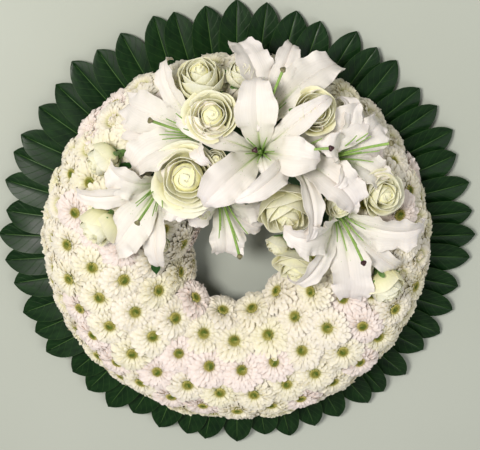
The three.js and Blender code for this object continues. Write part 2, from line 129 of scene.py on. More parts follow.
def turned(x, y, z, angle):
    """Points turned about the z axis by an angle in radians."""
    c, s = math.cos(angle), math.sin(angle)
    return np.stack([x * c - y * s, x * s + y * c, z], -1)


def along_spline(points, u):
    """Points on a smooth curve through `points`, for u from 0 to 1."""
    last = len(points) - 1
    p = np.clip(u, 0, 1) * last
    i = np.minimum(p.astype(int), last - 1)
    t = (p - i)[..., None]
    p0, p1, p2, p3 = (points[np.clip(i + k, 0, last)] for k in (-1, 0, 1, 2))
    v0, v1 = (p2 - p0) / 2, (p3 - p1) / 2
    return (2 * p1 - 2 * p2 + v0 + v1) * t**3 + (3 * p2 - 3 * p1 - 2 * v0 - v1) * t**2 + v0 * t + p1


# ---- shells: (points, faces, along, across), each closed
def grid_faces(rows, columns):
    a = (np.arange(rows - 1)[:, None] * columns + np.arange(columns - 1)).ravel()
    return np.stack([a, a + columns, a + columns + 1, a + 1], 1)


def sheet(surface, us, vs, thickness):
    """A thin closed sheet about surface(u, v), thinner towards its edges."""
    u, v = np.meshgrid(us, vs, indexing="ij")
    p = surface(u, v)
    normal = np.cross(np.gradient(p, axis=0), np.gradient(p, axis=1))
    normal /= np.linalg.norm(normal, axis=2, keepdims=True) + 1e-9
    half = (thickness / 2 * (1 - 0.6 * np.abs(v) ** 4))[..., None]
    rows, columns = u.shape
    under = rows * columns
    points = np.concatenate([(p + normal * half).reshape(-1, 3), (p - normal * half).reshape(-1, 3)])
    top = grid_faces(rows, columns)
    rim = np.array(
        [i * columns for i in range(rows)]
        + [(rows - 1) * columns + j for j in range(1, columns)]
        + [i * columns + columns - 1 for i in range(rows - 2, -1, -1)]
        + [j for j in range(columns - 2, 0, -1)]
    )
    after = np.roll(rim, -1)
    side = np.stack([after, rim, rim + under, after + under], 1)
    faces = np.concatenate([top, top[:, ::-1] + under, side]).tolist()
    return points, faces, np.tile(u.ravel(), 2), np.tile(v.ravel(), 2)


def rings(sections, across=None, ends=True):
    """A closed shell through equal rings of points; with ends=False the last ring joins the first."""
    sections = np.asarray(sections, float)
    count, sides = sections.shape[:2]
    spans = count - 1 if ends else count
    i, k = np.meshgrid(np.arange(spans), np.arange(sides), indexing="ij")
    after, right = (i + 1) % count, (k + 1) % sides
    quads = np.stack([i * sides + k, i * sides + right, after * sides + right, after * sides + k], 2)
    faces = quads.reshape(-1, 4).tolist()
    if ends:
        faces.append(list(range(sides - 1, -1, -1)))
        faces.append([(count - 1) * sides + j for j in range(sides)])
    along = np.repeat(np.arange(count) / max(1, count - 1), sides)
    across = np.tile(np.arange(sides) / sides if across is None else across, count)
    return sections.reshape(-1, 3), faces, along, across


def lathe(profile, sides, ends=True, lobes=0, lobe_depth=0.0):
    angle = np.arange(sides) * 2 * math.pi / sides
    swell = 1 + lobe_depth * np.cos(lobes * angle)
    sections = [np.stack([r * swell * np.cos(angle), r * swell * np.sin(angle), np.full(sides, z)], 1)
                for r, z in profile]
    return rings(sections, ends=ends)


def tube(path, radii, sides=6):
    path = np.asarray(path, float)
    radii = np.broadcast_to(radii, len(path))
    tangent = np.gradient(path, axis=0)
    normal = np.cross(tangent[0], (0.31, 0.17, 0.93))
    angle = np.arange(sides) * 2 * math.pi / sides
    sections = []
    for point, direction, radius in zip(path, tangent, radii):
        direction = unit(direction)
        normal = unit(normal - direction * normal.dot(direction))
        other = np.cross(direction, normal)
        sections.append(point + radius * (np.cos(angle)[:, None] * normal + np.sin(angle)[:, None] * other))
    return rings(sections)


class Piece:
    """Gathers shells, with the numbers that the materials read at each point."""

    def __init__(self):
        self.points, self.faces, self.finish, self.numbers, self.total = [], [], [], [], 0

    def add(self, shell, finish=0, tint=0.0, place=None, at=(0, 0, 0)):
        points, faces, along, across = shell
        if place is not None:
            points = points @ place
        points = points + np.asarray(at, float)
        start = self.total
        self.points.append(points)
        self.faces.extend([[start + i for i in face] for face in faces])
        self.finish.extend([finish] * len(faces))
        tints = np.broadcast_to(tint, len(points))
        self.numbers.append(np.stack([along, across, tints], 1))
        self.total += len(points)

    def make(self, name, finishes, cad, slot, sharp):
        mesh = bpy.data.meshes.new(name)
        mesh.from_pydata((np.concatenate(self.points) / 1000).tolist(), [], self.faces)
        mesh.polygons.foreach_set("material_index", np.array(self.finish, np.int32))
        mesh.polygons.foreach_set("use_smooth", np.ones(len(self.finish), bool))
        numbers = np.concatenate(self.numbers).astype(np.float32)
        for i, label in enumerate(("along", "across", "tint")):
            mesh.attributes.new(label, "FLOAT", "POINT").data.foreach_set("value", numbers[:, i].copy())
        for finish in finishes:
            mesh.materials.append(finish)
        mesh.set_sharp_from_angle(angle=math.radians(sharp))
        mesh.update()
        piece = bpy.data.objects.new(name, mesh)
        bpy.context.scene.collection.objects.link(piece)
        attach(piece, "root")
        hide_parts(cad)


# ---- materials
def grey(level):
    return (level, level, level)


class Finish:
    """A material on one principled shader, built up from nodes."""

    def __init__(self, name, **settings):
        self.material = bpy.data.materials.new(name)
        self.material.use_nodes = True
        self.tree = self.material.node_tree
        self.shader = self.tree.nodes["Principled BSDF"]
        for key, value in settings.items():
            self.shader.inputs[key.replace("_", " ")].default_value = value

    def link(self, value, socket):
        if hasattr(value, "is_output"):
            self.tree.links.new(value, socket)
        else:
            socket.default_value = value

    def node(self, kind, values, **settings):
        made = self.tree.nodes.new(kind)
        for key, value in settings.items():
            setattr(made, key, value)
        for key, value in values.items():
            self.link(value, made.inputs[key])
        return made.outputs[0]

    def number(self, label):
        made = self.tree.nodes.new("ShaderNodeAttribute")
        made.attribute_name = label
        return made.outputs["Fac"]

    def math(self, operation, a, b=None):
        return self.node("ShaderNodeMath", {0: a} if b is None else {0: a, 1: b}, operation=operation)

    def ramp(self, value, stops):
        made = self.tree.nodes.new("ShaderNodeValToRGB")
        while len(made.color_ramp.elements) < len(stops):
            made.color_ramp.elements.new(0.5)
        for element, (position, colour) in zip(made.color_ramp.elements, stops):
            element.position = position
            element.color = (*colour, 1)
        self.link(value, made.inputs[0])
        return made.outputs[0]

    def mix(self, factor, a, b, blend="MIX"):
        made = self.tree.nodes.new("ShaderNodeMix")
        made.data_type, made.blend_type = "RGBA", blend
        for value, socket in ((factor, made.inputs[0]), (a, made.inputs[6]), (b, made.inputs[7])):
            self.link(value, socket)
        return made.outputs[2]

    def streaks(self, long, wide):
        """Noise drawn out along a petal or leaf."""
        place = self.node("ShaderNodeCombineXYZ", {
            0: self.math("MULTIPLY", self.number("along"), long),
            1: self.math("MULTIPLY", self.number("across"), wide),
            2: self.math("MULTIPLY", self.number("tint"), 37.0)})
        return self.node("ShaderNodeTexNoise", {"Vector": place, "Scale": 1.0, "Detail": 3.0})

    def noise(self, scale):
        where = self.tree.nodes.new("ShaderNodeNewGeometry").outputs["Position"]
        return self.node("ShaderNodeTexNoise", {"Vector": where, "Scale": scale, "Detail": 3.0})

    def done(self, colour, rough=None, bump=None, strength=0.3, distance=0.0005):
        self.link(colour, self.shader.inputs["Base Color"])
        if rough is not None:
            made = self.tree.nodes.new("ShaderNodeMapRange")
            self.link(rough[0], made.inputs[0])
            made.inputs[3].default_value, made.inputs[4].default_value = rough[1:]
            self.link(made.outputs[0], self.shader.inputs["Roughness"])
        if bump is not None:
            normal = self.node("ShaderNodeBump", {"Height": bump, "Strength": strength, "Distance": distance})
            self.link(normal, self.shader.inputs["Normal"])
        return self.material


def petal_finish(name, root, middle, edge, shades, wide, turn, glow, blush=None, furrow=None):
    """A thin living petal: root, blade and edge colours, faint streaks and a soft bump."""
    f = Finish(name, Subsurface_Weight=glow, Subsurface_Scale=0.005, Specular_IOR_Level=0.25)
    f.shader.inputs["Subsurface Radius"].default_value = (1.0, 0.9, 0.75)
    body = f.ramp(f.number("along"), [(0.0, root), (turn, middle), (1.0, edge)])
    shade = f.ramp(f.number("tint"), [(i / (len(shades) - 1), c) for i, c in enumerate(shades)])
    tinted = f.mix(1.0, body, shade, "MULTIPLY")
    if blush is not None:
        share = f.ramp(f.number("tint"), [(0.84, grey(0)), (0.95, grey(0.65))])
        tinted = f.mix(share, tinted, (*blush, 1))
    if furrow is not None:
        far = f.math("ABSOLUTE", f.number("across"))
        near = f.ramp(far, [(0.0, grey(1)), (0.16, grey(0)), (1.0, grey(0))])
        low = f.ramp(f.number("along"), [(0.0, grey(1)), (0.28, grey(0.85)), (0.5, grey(0))])
        tinted = f.mix(f.math("MULTIPLY", near, low), tinted, (*furrow, 1))
    veins = f.streaks(1.5, wide)
    lines = f.ramp(veins, [(0.32, grey(0.84)), (0.62, grey(1))])
    colour = f.mix(0.35, tinted, lines, "MULTIPLY")
    return f.done(colour, rough=(veins, 0.55, 0.72), bump=veins, strength=0.3, distance=0.0006)


def green_finish(name, dark, light, rough=(0.42, 0.6)):
    f = Finish(name, Specular_IOR_Level=0.4)
    mottle = f.noise(260.0)
    colour = f.ramp(mottle, [(0.3, dark), (0.7, light)])
    return f.done(colour, rough=(mottle, *rough), bump=mottle, strength=0.25)


def leaf_finish(name, dark, light, rib, under, veins=9.0):
    """A glossy leaf with a pale midrib, side veins that slant to the tip and a paler underside."""
    f = Finish(name, Specular_IOR_Level=0.15, Coat_Weight=0.035, Coat_Roughness=0.18)
    far = f.math("ABSOLUTE", f.number("across"))
    slant = f.math("SUBTRACT", f.number("along"), f.math("MULTIPLY", far, 0.22))
    wave = f.math("ABSOLUTE", f.math("SINE", f.math("MULTIPLY", slant, veins * math.pi)))
    lines = f.ramp(wave, [(0.0, grey(1)), (0.16, grey(0)), (1.0, grey(0))])
    mottle = f.streaks(5.0, 3.0)
    blade = f.ramp(mottle, [(0.3, dark), (0.75, light)])
    veined = f.mix(f.math("MULTIPLY", lines, 0.16), blade, (*rib, 1))
    middle = f.ramp(far, [(0.0, grey(1)), (0.012, grey(0.8)), (0.034, grey(0)), (1.0, grey(0))])
    ribbed = f.mix(f.math("MULTIPLY", middle, 0.7), veined, (*rib, 1))
    edged = f.mix(f.ramp(far, [(0.96, grey(0)), (1.0, grey(0.2))]), ribbed, (*rib, 1))
    facing = f.tree.nodes.new("ShaderNodeNewGeometry").outputs["Normal"]
    height = f.tree.nodes.new("ShaderNodeSeparateXYZ")
    f.link(facing, height.inputs[0])
    down = f.math("LESS_THAN", height.outputs[2], -0.05)
    colour = f.mix(f.math("MULTIPLY", down, 0.8), edged, (*under, 1))
    relief = f.math("SUBTRACT", f.math("MULTIPLY", mottle, 0.4), f.math("MULTIPLY", lines, 0.5))
    return f.done(colour, rough=(mottle, 0.30, 0.50), bump=relief, strength=0.4, distance=0.0008)


chrysanthemum_petal = petal_finish(
    "chrysanthemum_petal", (0.66, 0.66, 0.26), (0.91, 0.86, 0.70), (0.96, 0.91, 0.85),
    [(1, 1, 0.88), (1, 0.99, 0.95), (1, 0.98, 0.98)], 5.0, 0.34, 0.15, (0.96, 0.83, 0.80))
lily_petal = petal_finish(
    "lily_petal", (0.40, 0.56, 0.18), (0.85, 0.81, 0.73), (0.92, 0.85, 0.84),
    [(1, 1, 0.96), (1, 0.985, 0.98)], 12.0, 0.27, 0.3, furrow=(0.36, 0.52, 0.13))
rose_petal = petal_finish(
    "rose_petal", (0.82, 0.80, 0.42), (0.93, 0.91, 0.62), (0.96, 0.94, 0.76),
    [(1, 0.985, 0.88), (1, 1, 0.94), (1, 0.995, 0.97)], 8.0, 0.5, 0.4)
guard_petal = petal_finish(
    "rose_guard_petal", (0.62, 0.64, 0.24), (0.90, 0.87, 0.50), (0.95, 0.92, 0.66),
    [(1, 1, 1), (1, 1, 1)], 8.0, 0.5, 0.25)
stem_green = green_finish("stem_green", (0.10, 0.22, 0.05), (0.20, 0.36, 0.10))
filament_green = green_finish("filament_green", (0.22, 0.42, 0.08), (0.38, 0.56, 0.16))
stigma_dark = green_finish("stigma_dark", (0.022, 0.006, 0.008), (0.060, 0.018, 0.020), (0.3, 0.5))
stigma_pale = green_finish("stigma_pale", (0.12, 0.10, 0.05), (0.26, 0.25, 0.12), (0.3, 0.5))
collar_leaf = leaf_finish(
    "collar_leaf", (0.003, 0.016, 0.004), (0.010, 0.038, 0.008), (0.10, 0.20, 0.05), (0.07, 0.13, 0.05))
rose_leaf = leaf_finish(
    "rose_leaf", (0.012, 0.05, 0.012), (0.03, 0.10, 0.02), (0.12, 0.22, 0.07), (0.10, 0.18, 0.08), 7.0)


def disc_finish():
    """The florets in a chrysanthemum's middle: olive green, then a yellow ring where they have opened."""
    f = Finish("chrysanthemum_disc", Specular_IOR_Level=0.25)
    colour = f.ramp(f.number("across"), [
        (0.0, (0.07, 0.11, 0.02)), (0.42, (0.15, 0.22, 0.03)), (0.66, (0.34, 0.32, 0.06)),
        (1.0, (0.66, 0.60, 0.22))])
    return f.done(colour, rough=(f.noise(900.0), 0.6, 0.85))


def foam_finish():
    f = Finish("wet_foam", Roughness=0.9)
    grain = f.node("ShaderNodeTexVoronoi", {"Scale": 420.0})
    stain = f.noise(14.0)
    colour = f.ramp(stain, [(0.3, (0.035, 0.09, 0.04)), (0.7, (0.06, 0.14, 0.06))])
    return f.done(colour, bump=grain, strength=0.6, distance=0.0012)


def tray_finish():
    f = Finish("moulded_tray", Specular_IOR_Level=0.45)
    skin = f.noise(700.0)
    haze = f.noise(9.0)
    colour = f.ramp(haze, [(0.3, (0.012, 0.025, 0.016)), (0.7, (0.020, 0.038, 0.024))])
    return f.done(colour, rough=(haze, 0.38, 0.55), bump=skin, strength=0.15, distance=0.0002)


def wire_finish():
    f = Finish("florist_wire", Metallic=0.85)
    wear = f.noise(300.0)
    colour = f.ramp(wear, [(0.3, (0.16, 0.20, 0.16)), (0.7, (0.34, 0.38, 0.34))])
    return f.done(colour, rough=(wear, 0.3, 0.5))


chrysanthemum_disc = disc_finish()
wet_foam = foam_finish()
moulded_tray = tray_finish()
florist_wire = wire_finish()

# ---- chrysanthemums
WHORLS = [  # petals, root radius, reach, height at root, middle and tip, half width
    (20, 7.0, 29.0, (-3.0, -2.0, -6.5), 4.3),
    (22, 7.2, 28.0, (-1.0, 1.8, -1.0), 3.7),
    (21, 7.0, 24.0, (0.6, 4.0, 2.6), 3.2),
    (19, 6.6, 18.5, (1.6, 5.0, 5.2), 2.6),
    (17, 6.0, 12.5, (2.4, 5.4, 6.6), 1.8),
]
PETAL_STATIONS = np.array([0, 0.32, 0.64, 0.88, 1.0])
PETAL_SHARE = np.array([0.42, 0.76, 1.0, 0.96, 0.6])
OPEN_HEADS, YOUNG_HEADS, FLORETS = 10, 5, 52
YOUNG_SHARE, YOUNG_ELSEWHERE = {12: 0.85, 29: 0.3}, 0.03  # share of young heads, by row and in other rows
YOUNG_WHORLS = [(0, 1), (0.4, 1), (1.0, 0.96), (2.0, 0.84), (1.8, 0.06)]  # rise of the tips, share of reach
DISC_RADIUS = 6.5
DISC_BODY = [(0.6, -0.5), (6.4, 0.0), (6.9, 2.2), (5.4, 3.6), (3.1, 4.2), (0.6, 4.3)]
HEAD_CALYX = [(1.8, -14), (4.0, -11.5), (7.4, -6), (8.6, -1.5), (4.0, 0.8)]
PETAL, DISC, GREEN = range(3)  # a head's finishes
INWARD_TILT = 0.16  # how far a head leans back from the row below, so that its petals lie over that row


def ray_petal(rnd, angle, root, reach, heights, half):
    reach = root + (reach - root) * (1 + 0.05 * rnd.normal())
    s = PETAL_STATIONS
    h0, hm, h1 = heights + 0.5 * rnd.normal(size=3) * (0, 0.6, 1)
    z = h0 * (1 - s) * (1 - 2 * s) + 4 * hm * s * (1 - s) + h1 * s * (2 * s - 1)
    x = root + (reach - root) * s
    w = half * PETAL_SHARE * (1 + 0.07 * rnd.normal())
    lift = 0.42 * w
    lean = 0.7 * rnd.normal() * s
    bend = 0.9 * rnd.normal() * s**2
    sections = np.stack([
        np.stack([x, bend - w, z + lift - lean], 1), np.stack([x, bend, z - 0.75], 1),
        np.stack([x, bend + w, z + lift + lean], 1), np.stack([x + 0.4 * s, bend, z], 1)], 1)
    c, n = math.cos(angle), math.sin(angle)
    sections = sections @ np.array([[c, n, 0], [-n, c, 0], [0, 0, 1]])
    return rings(sections, across=np.array([-1, 0, 1, 0]))


def floret(x, y, z, size, share):
    base = size * np.array([[1, 0, 0], [0, 1, 0], [-1, 0, 0], [0, -1, 0]])
    top = base * 0.45 + (0, 0, size * 1.5)
    points, faces, along, _ = rings(np.stack([base, top]) + (x, y, z))
    return points, faces, along, np.full(8, share)


def head_template(number):
    """An open head, or from OPEN_HEADS up a young one whose inner petals still close over the disc."""
    rnd = np.random.default_rng(HEAD_SEED + number)
    shells = []
    for w, (count, root, reach, heights, half) in enumerate(WHORLS):
        start = rnd.uniform(0, 2 * math.pi)
        if number >= OPEN_HEADS:
            rise, share = YOUNG_WHORLS[w]
            heights, reach = np.array(heights) + np.array([0, 0.5, 1]) * rise, reach * share
        for k in range(count):
            angle = start + (k + 0.1 * rnd.normal()) * 2 * math.pi / count
            shells.append((ray_petal(rnd, angle, root, reach, np.array(heights), half), PETAL))
    middle = DISC if number < OPEN_HEADS else PETAL
    shells.append((lathe(DISC_BODY, 12), middle))
    for k in range(FLORETS):
        share = math.sqrt((k + 0.5) / FLORETS)
        turn = k * GOLDEN_ANGLE
        size, out = 0.58 + 0.42 * share, DISC_RADIUS * share
        z = 2.0 + 2.4 * math.sqrt(max(0, 1 - (0.92 * share) ** 2)) + (1.0 if share > 0.62 else 0)
        shells.append((floret(out * math.cos(turn), out * math.sin(turn), z, size, share), middle))
    shells.append((lathe(HEAD_CALYX, 10), GREEN))
    shells.append((tube([(0, 0, -12), (0, 0, -40), (0, 0, -HEAD_STEM_LENGTH)], HEAD_STEM, 6), GREEN))
    return shells


def dome_point(slope, angle):
    up, out = math.sin(math.radians(slope)), math.cos(math.radians(slope))
    point = ring_point(angle, DOME_RADIUS + DOME_HALF_WIDTH * out, DOME_BASE + DOME_HEIGHT * up)
    inside = max(0.0, -out)
    return point + (HOLE_SHIFT[0] * inside, HOLE_SHIFT[1] * inside, 0)


def dome_normal(slope, angle):
    up, out = math.sin(math.radians(slope)), math.cos(math.radians(slope))
    return unit(ring_point(angle, out / DOME_HALF_WIDTH, up / DOME_HEIGHT))


def cluster_tree(names):
    """One search tree over all the clusters' solids, and the cluster that each of its faces is in."""
    points, polygons, owner = [], [], []
    for index, name in enumerate(names):
        mesh = nodes[name].data
        start = len(points)
        points += [tuple(v.co) for v in mesh.vertices]
        polygons += [[start + i for i in p.vertices] for p in mesh.polygons]
        owner += [index] * len(mesh.polygons)
    return BVHTree.FromPolygons(points, polygons), owner


def head_seat(slope, angle, number):
    """Where a head stands before it is pressed down, its axis, and the way down to the row below."""
    tilt, turn = slope + 1.5 * wobble(number), angle + 0.8 * wobble(number + 5)
    up, out = math.sin(math.radians(tilt)), math.cos(math.radians(tilt))
    down = unit(ring_point(turn, DOME_HALF_WIDTH * up, -DOME_HEIGHT * out))
    return dome_point(tilt, turn), dome_normal(tilt, turn), down


def make_heads():
    """Heads in rows, each pressed down to its cluster's solid, and left out where there is none."""
    names = sorted(n for n in nodes if n.startswith("chrysanthemum_cluster_"))
    tree, owner = cluster_tree(names)
    templates = [head_template(n) for n in range(OPEN_HEADS + YOUNG_HEADS)]
    pieces = [Piece() for _ in names]
    rnd = np.random.default_rng(LAYOUT_SEED)
    clear = 12  # how far over a head the search for its solid starts
    for slope, count, first, start, end in ROWS:
        for i in range(count):
            angle = first + i * 360 / count
            if (angle - start) % 360 + start > end:
                continue
            at, axis, down = head_seat(slope, angle, slope + i)
            origin = (at + axis * (HEAD_CROWN + clear)) / 1000
            _, _, face, far = tree.ray_cast(origin, -axis, (clear + MOST_PRESSED) / 1000)
            young = rnd.random() < YOUNG_SHARE.get(slope, YOUNG_ELSEWHERE)
            choice = OPEN_HEADS + rnd.integers(YOUNG_HEADS) if young else rnd.integers(OPEN_HEADS)
            spin, shade, shift = rnd.uniform(0, ABOUT_A_TURN), rnd.random(), rnd.normal(size=4)
            if face is None:
                continue
            drop = max(0.0, far * 1000 - clear)
            aim = axis - INWARD_TILT * down + 0.05 * np.array([shift[0], shift[1], 0])
            size = 1 + 0.03 * shift[2]
            place = flower_frame(aim, spin) * size
            tint = 0.9 + 0.1 * shade if shade > 0.8 else 0.8 * shade
            for shell, finish in templates[choice]:
                pieces[owner[face]].add(shell, finish, tint, place, at - axis * (drop + 0.8 * shift[3]))
    for index, (name, piece) in enumerate(zip(names, pieces)):
        if piece.total:
            finishes = [chrysanthemum_petal, chrysanthemum_disc, stem_green]
            piece.make(f"chrysanthemums_{index + 1:02d}", finishes, name, "chrysanthemum", 50)


# ---- lilies
TEPAL, FILAMENT, DARK_TIP, PALE_TIP, LILY_STEM = range(5)  # a lily's finishes
STIGMA = [(0.8, -KNOB), (1.9, -2.6), (3.1, -0.6), (3.4, 1.0), (2.6, 2.4), (1.0, 2.8)]
OVARY = [(2.0, 1), (3.4, 4), (3.2, 18), (2.2, 28), (1.6, 31)]
RECEPTACLE = [(2.6, -12), (3.6, -8), (5.4, -3), (6.2, 1), (5.0, 5), (2.0, 7)]


def tepal_shell(base, axis, angle, reach, wide, rnd):
    """A tepal's closed sheet, and the surface that it is made about."""
    side, up, axis = flower_frame(axis)
    a = math.radians(angle)
    outward = side * math.cos(a) + up * math.sin(a)
    across = np.cross(axis, outward)
    rise = min(1, 0.3 + 0.85 * reach)
    half = (PETAL_HALF if wide else SEPAL_HALF) * rise
    below = 0 if wide else 3
    ruffle = (4.6 if wide else 2.0) * rise
    waves, phase = rnd.uniform(3.0, 4.6), rnd.uniform(0, 1, 2)
    curl, bend, twist = rnd.uniform(3, 13) * rise, 3.6 * rnd.normal() * rise, 0.2 * rnd.normal()

    def surface(u, v):
        path = along_spline(TEPAL_PATH, u)
        after = along_spline(TEPAL_PATH, np.minimum(1, u + 0.02))
        before = along_spline(TEPAL_PATH, np.maximum(0, u - 0.02))
        ahead = (after - before) * (reach, rise)
        ahead /= np.linalg.norm(ahead, axis=-1, keepdims=True) + 1e-9
        width = half * np.interp(u, *np.array(TEPAL_WIDTH).T)
        swell = np.clip((u - 0.22) / 0.25, 0, 1) * np.clip((1.02 - u) / 0.12, 0, 1)
        around = 2 * math.pi * (waves * u + np.where(v > 0, *phase))
        wave = np.sin(around) + 0.6 * np.sin(2.3 * around + 1)
        edge = ruffle * swell * np.abs(v) ** 2.4 * wave
        groove = -2.0 * np.exp(-((v / 0.1) ** 2)) * np.sin(math.pi * np.clip(u, 0.02, 0.98)) ** 0.6
        shoulder = 1.6 * np.exp(-(((np.abs(v) - 0.3) / 0.22) ** 2)) * np.sin(math.pi * np.clip(u, 0, 1))
        lift = edge + groove * rise + shoulder * rise + twist * v * width * u
        out = path[..., 0] * reach + below / 2 - ahead[..., 1] * lift
        high = path[..., 1] * rise - below + TEPAL_CUP * width * v * v + ahead[..., 0] * lift
        high = high - curl * np.clip((u - 0.78) / 0.22, 0, 1) ** 2
        out = out - 0.5 * curl * np.clip((u - 0.86) / 0.14, 0, 1) ** 2
        sway = v * width * (1 + 0.06 * np.cos(2 * math.pi * waves * u)) + bend * u * u
        return base + out[..., None] * outward + high[..., None] * axis + sway[..., None] * across

    vs = np.sin(np.linspace(-1, 1, 15) * math.pi / 2)
    return sheet(surface, np.linspace(0.0, 1, 34), vs, 1.1), surface


def lily_bloom(piece, lily, number):
    at, facing, tepals = lily
    rnd = np.random.default_rng(LILY_SEED + number)
    base, axis = ring_point(*at), leaning(*facing)
    place = flower_frame(axis)
    for index, (angle, reach) in enumerate(tepals):
        wide = index % 2 == 0
        shell, surface = tepal_shell(base, axis, angle, reach, wide, rnd)
        piece.add(shell, TEPAL, rnd.uniform(0.1, 0.9))
        if reach > 0.6:
            for _ in range(22):
                u, v = rnd.uniform(0.2, 0.5), rnd.uniform(-0.6, 0.6)
                spot = surface(np.array([u, u]), np.array([v, v + 0.01]))[0]
                piece.add(floret(0, 0, 0.3, 0.42, 0.0), FILAMENT, 0, place, spot)
    for k in range(6):
        a = math.radians(tepals[k][0] + 12 * rnd.normal() + 30)
        spread, tall = rnd.uniform(9, 19), rnd.uniform(60, 76)
        tall *= PRESSED_FILAMENTS if number == PRESSED_BLOOM else 1
        t = np.linspace(0, 1, 9)
        r = 3.5 + spread * t**1.8
        path = np.stack([r * math.cos(a), r * math.sin(a), 4 + tall * t], 1)
        piece.add(tube(path, 1.5 - 0.9 * t, 6), FILAMENT, 0, place, base)
    t = np.linspace(0, 1, 8)
    style = np.stack([1.6 * np.sin(math.pi * t), 0 * t, 4 + (PISTIL_HEIGHT - 5) * t], 1)
    piece.add(tube(style, PISTIL_RADIUS * (1.0 - 0.15 * np.sin(math.pi * t)), 8), FILAMENT, 0, place, base)
    tip = DARK_TIP if number in DARK_STIGMAS else PALE_TIP
    piece.add(lathe(STIGMA, 18, lobes=3, lobe_depth=0.2), tip, 0, place, base + axis * PISTIL_HEIGHT)
    piece.add(lathe(OVARY, 12, lobes=3, lobe_depth=0.1), FILAMENT, 0, place, base)
    piece.add(lathe(RECEPTACLE, 12), LILY_STEM, 0, place, base)


def curved_stem(start, axis, end, radius, back=14):
    """A stem that leaves the bloom along its axis and bends round to its foot."""
    a, b = start, start - axis * back
    t = np.linspace(0, 1, 9)[:, None]
    bend = 0.6 * b + 0.4 * end
    path = (1 - t) ** 3 * a + 3 * (1 - t) ** 2 * t * b + 3 * (1 - t) * t * t * bend + t**3 * end
    return tube(path, radius, 8)


def make_lilies():
    count = 0
    for index, blooms in enumerate(LILY_STEMS):
        piece = Piece()
        first = blooms[0]
        foot = foot_in_foam(first[0])
        base = ring_point(*first[0])
        piece.add(curved_stem(base, leaning(*first[1]), foot, 3.5), LILY_STEM)
        for other in blooms[1:]:
            fork = (base + foot) / 2
            piece.add(curved_stem(ring_point(*other[0]), leaning(*other[1]), fork, 2.6), LILY_STEM)
        for lily in blooms:
            lily_bloom(piece, lily, count)
            count += 1
        finishes = [lily_petal, filament_green, stigma_dark, stigma_pale, stem_green]
        piece.make(f"lily_bloom_{index + 1:02d}", finishes, f"lily_{index + 1:02d}", "lily", 60)


# ---- roses
ROSE_PETAL, GUARD_PETAL, ROSE_GREEN = range(3)  # a rose's finishes
USUAL_ROSE = 29  # the radius that sepals and calyx are drawn for
GUARD_FROM, GUARD_SHARE = 0.84, 0.4  # how far out guard petals start, and their share there
SEPALS, SEPAL_STEP = 5, 1.2566  # the step is a fifth of a turn, in radians


def rose_petal_shell(radius, deep, turn, shape, rnd):
    """One petal. The shape gives its mouth, belly and top as shares of the bloom's radius, how far its
    lip rolls out, its half angle in degrees, and how tightly it winds."""
    mouth, belly, top, lip, half, wind = shape
    mouth, belly, top = mouth * radius, belly * radius, top * radius
    lip = lip * radius * rnd.uniform(0.8, 1.2)
    foot, foot_radius = -0.93 * deep, 1.5 + 0.08 * belly
    half = math.radians(half)
    wave, lean = rnd.uniform(0, ABOUT_A_TURN), rnd.uniform(0.02, 0.05)

    def surface(u, v):
        s = u * (1 - 0.26 * np.abs(v) ** 2)
        p0, p1 = (foot_radius, foot), (belly * 1.25, foot + 0.24 * deep)
        p2, p3 = (belly * 1.08, top - 0.34 * deep), (mouth, top)
        b = [(1 - s) ** 3, 3 * (1 - s) ** 2 * s, 3 * (1 - s) * s * s, s**3]
        r = sum(k * p[0] for k, p in zip(b, (p0, p1, p2, p3)))
        z = sum(k * p[1] for k, p in zip(b, (p0, p1, p2, p3)))
        q = np.clip((s - 0.5) / 0.5, 0, 1)
        roll = lip * q**1.9 * (0.8 + 1.1 * v * v)
        r = r + roll + radius * lean * v * (0.3 + 0.7 * u) + wind * mouth * v
        r = r + radius * 0.022 * np.sin(7 * v + wave) * u * u
        z = z - 0.5 * roll * q**3 * (0.5 + 1.6 * v * v) + radius * 0.02 * np.sin(5 * v + wave) * u
        angle = turn + v * half * (0.4 + 0.6 * np.sin(math.pi / 2 * np.clip(1.7 * u, 0, 1)))
        r = np.maximum(r, 0.4)
        return np.stack([r * np.cos(angle), r * np.sin(angle), z], -1)

    return sheet(surface, np.array([0, .18, .36, .52, .66, .77, .87, .94, 1]), np.linspace(-1, 1, 11), 0.6)


def rose_shapes(radius, opened, rnd):
    """The petals' shapes from the tight middle outwards, with how far out each one is."""
    closed = 0.62 + 0.38 * opened
    shapes = []
    for q in np.linspace(0, 1, 4 if radius < 16 else 6):
        shape = (closed * (0.05 + 0.30 * q), 0.12 + 0.32 * q, 0.30 - 0.04 * q, 0.03 + 0.07 * q, 118 - 30 * q,
                 0.3 * (1 - q) + 0.04)
        shapes.append((0.35 * q, shape))
    for q in np.linspace(0, 1, 5):
        shape = (closed * (0.40 + 0.18 * q), 0.50 + 0.16 * q, 0.26 - 0.07 * q, 0.11 + 0.10 * q, 74, 0.03)
        shapes.append((0.45 + 0.2 * q, shape))
    for q in np.linspace(0, 1, int(round(3 + 3 * opened + radius / 20))):
        shape = (closed * (0.66 + 0.26 * q), 0.70 + 0.15 * q, 0.14 - 0.28 * q + 0.03 * rnd.normal(),
                 (0.22 + 0.20 * q) * (0.3 + 0.7 * opened), 64, 0.03)
        shapes.append((0.75 + 0.25 * q, shape))
    return shapes


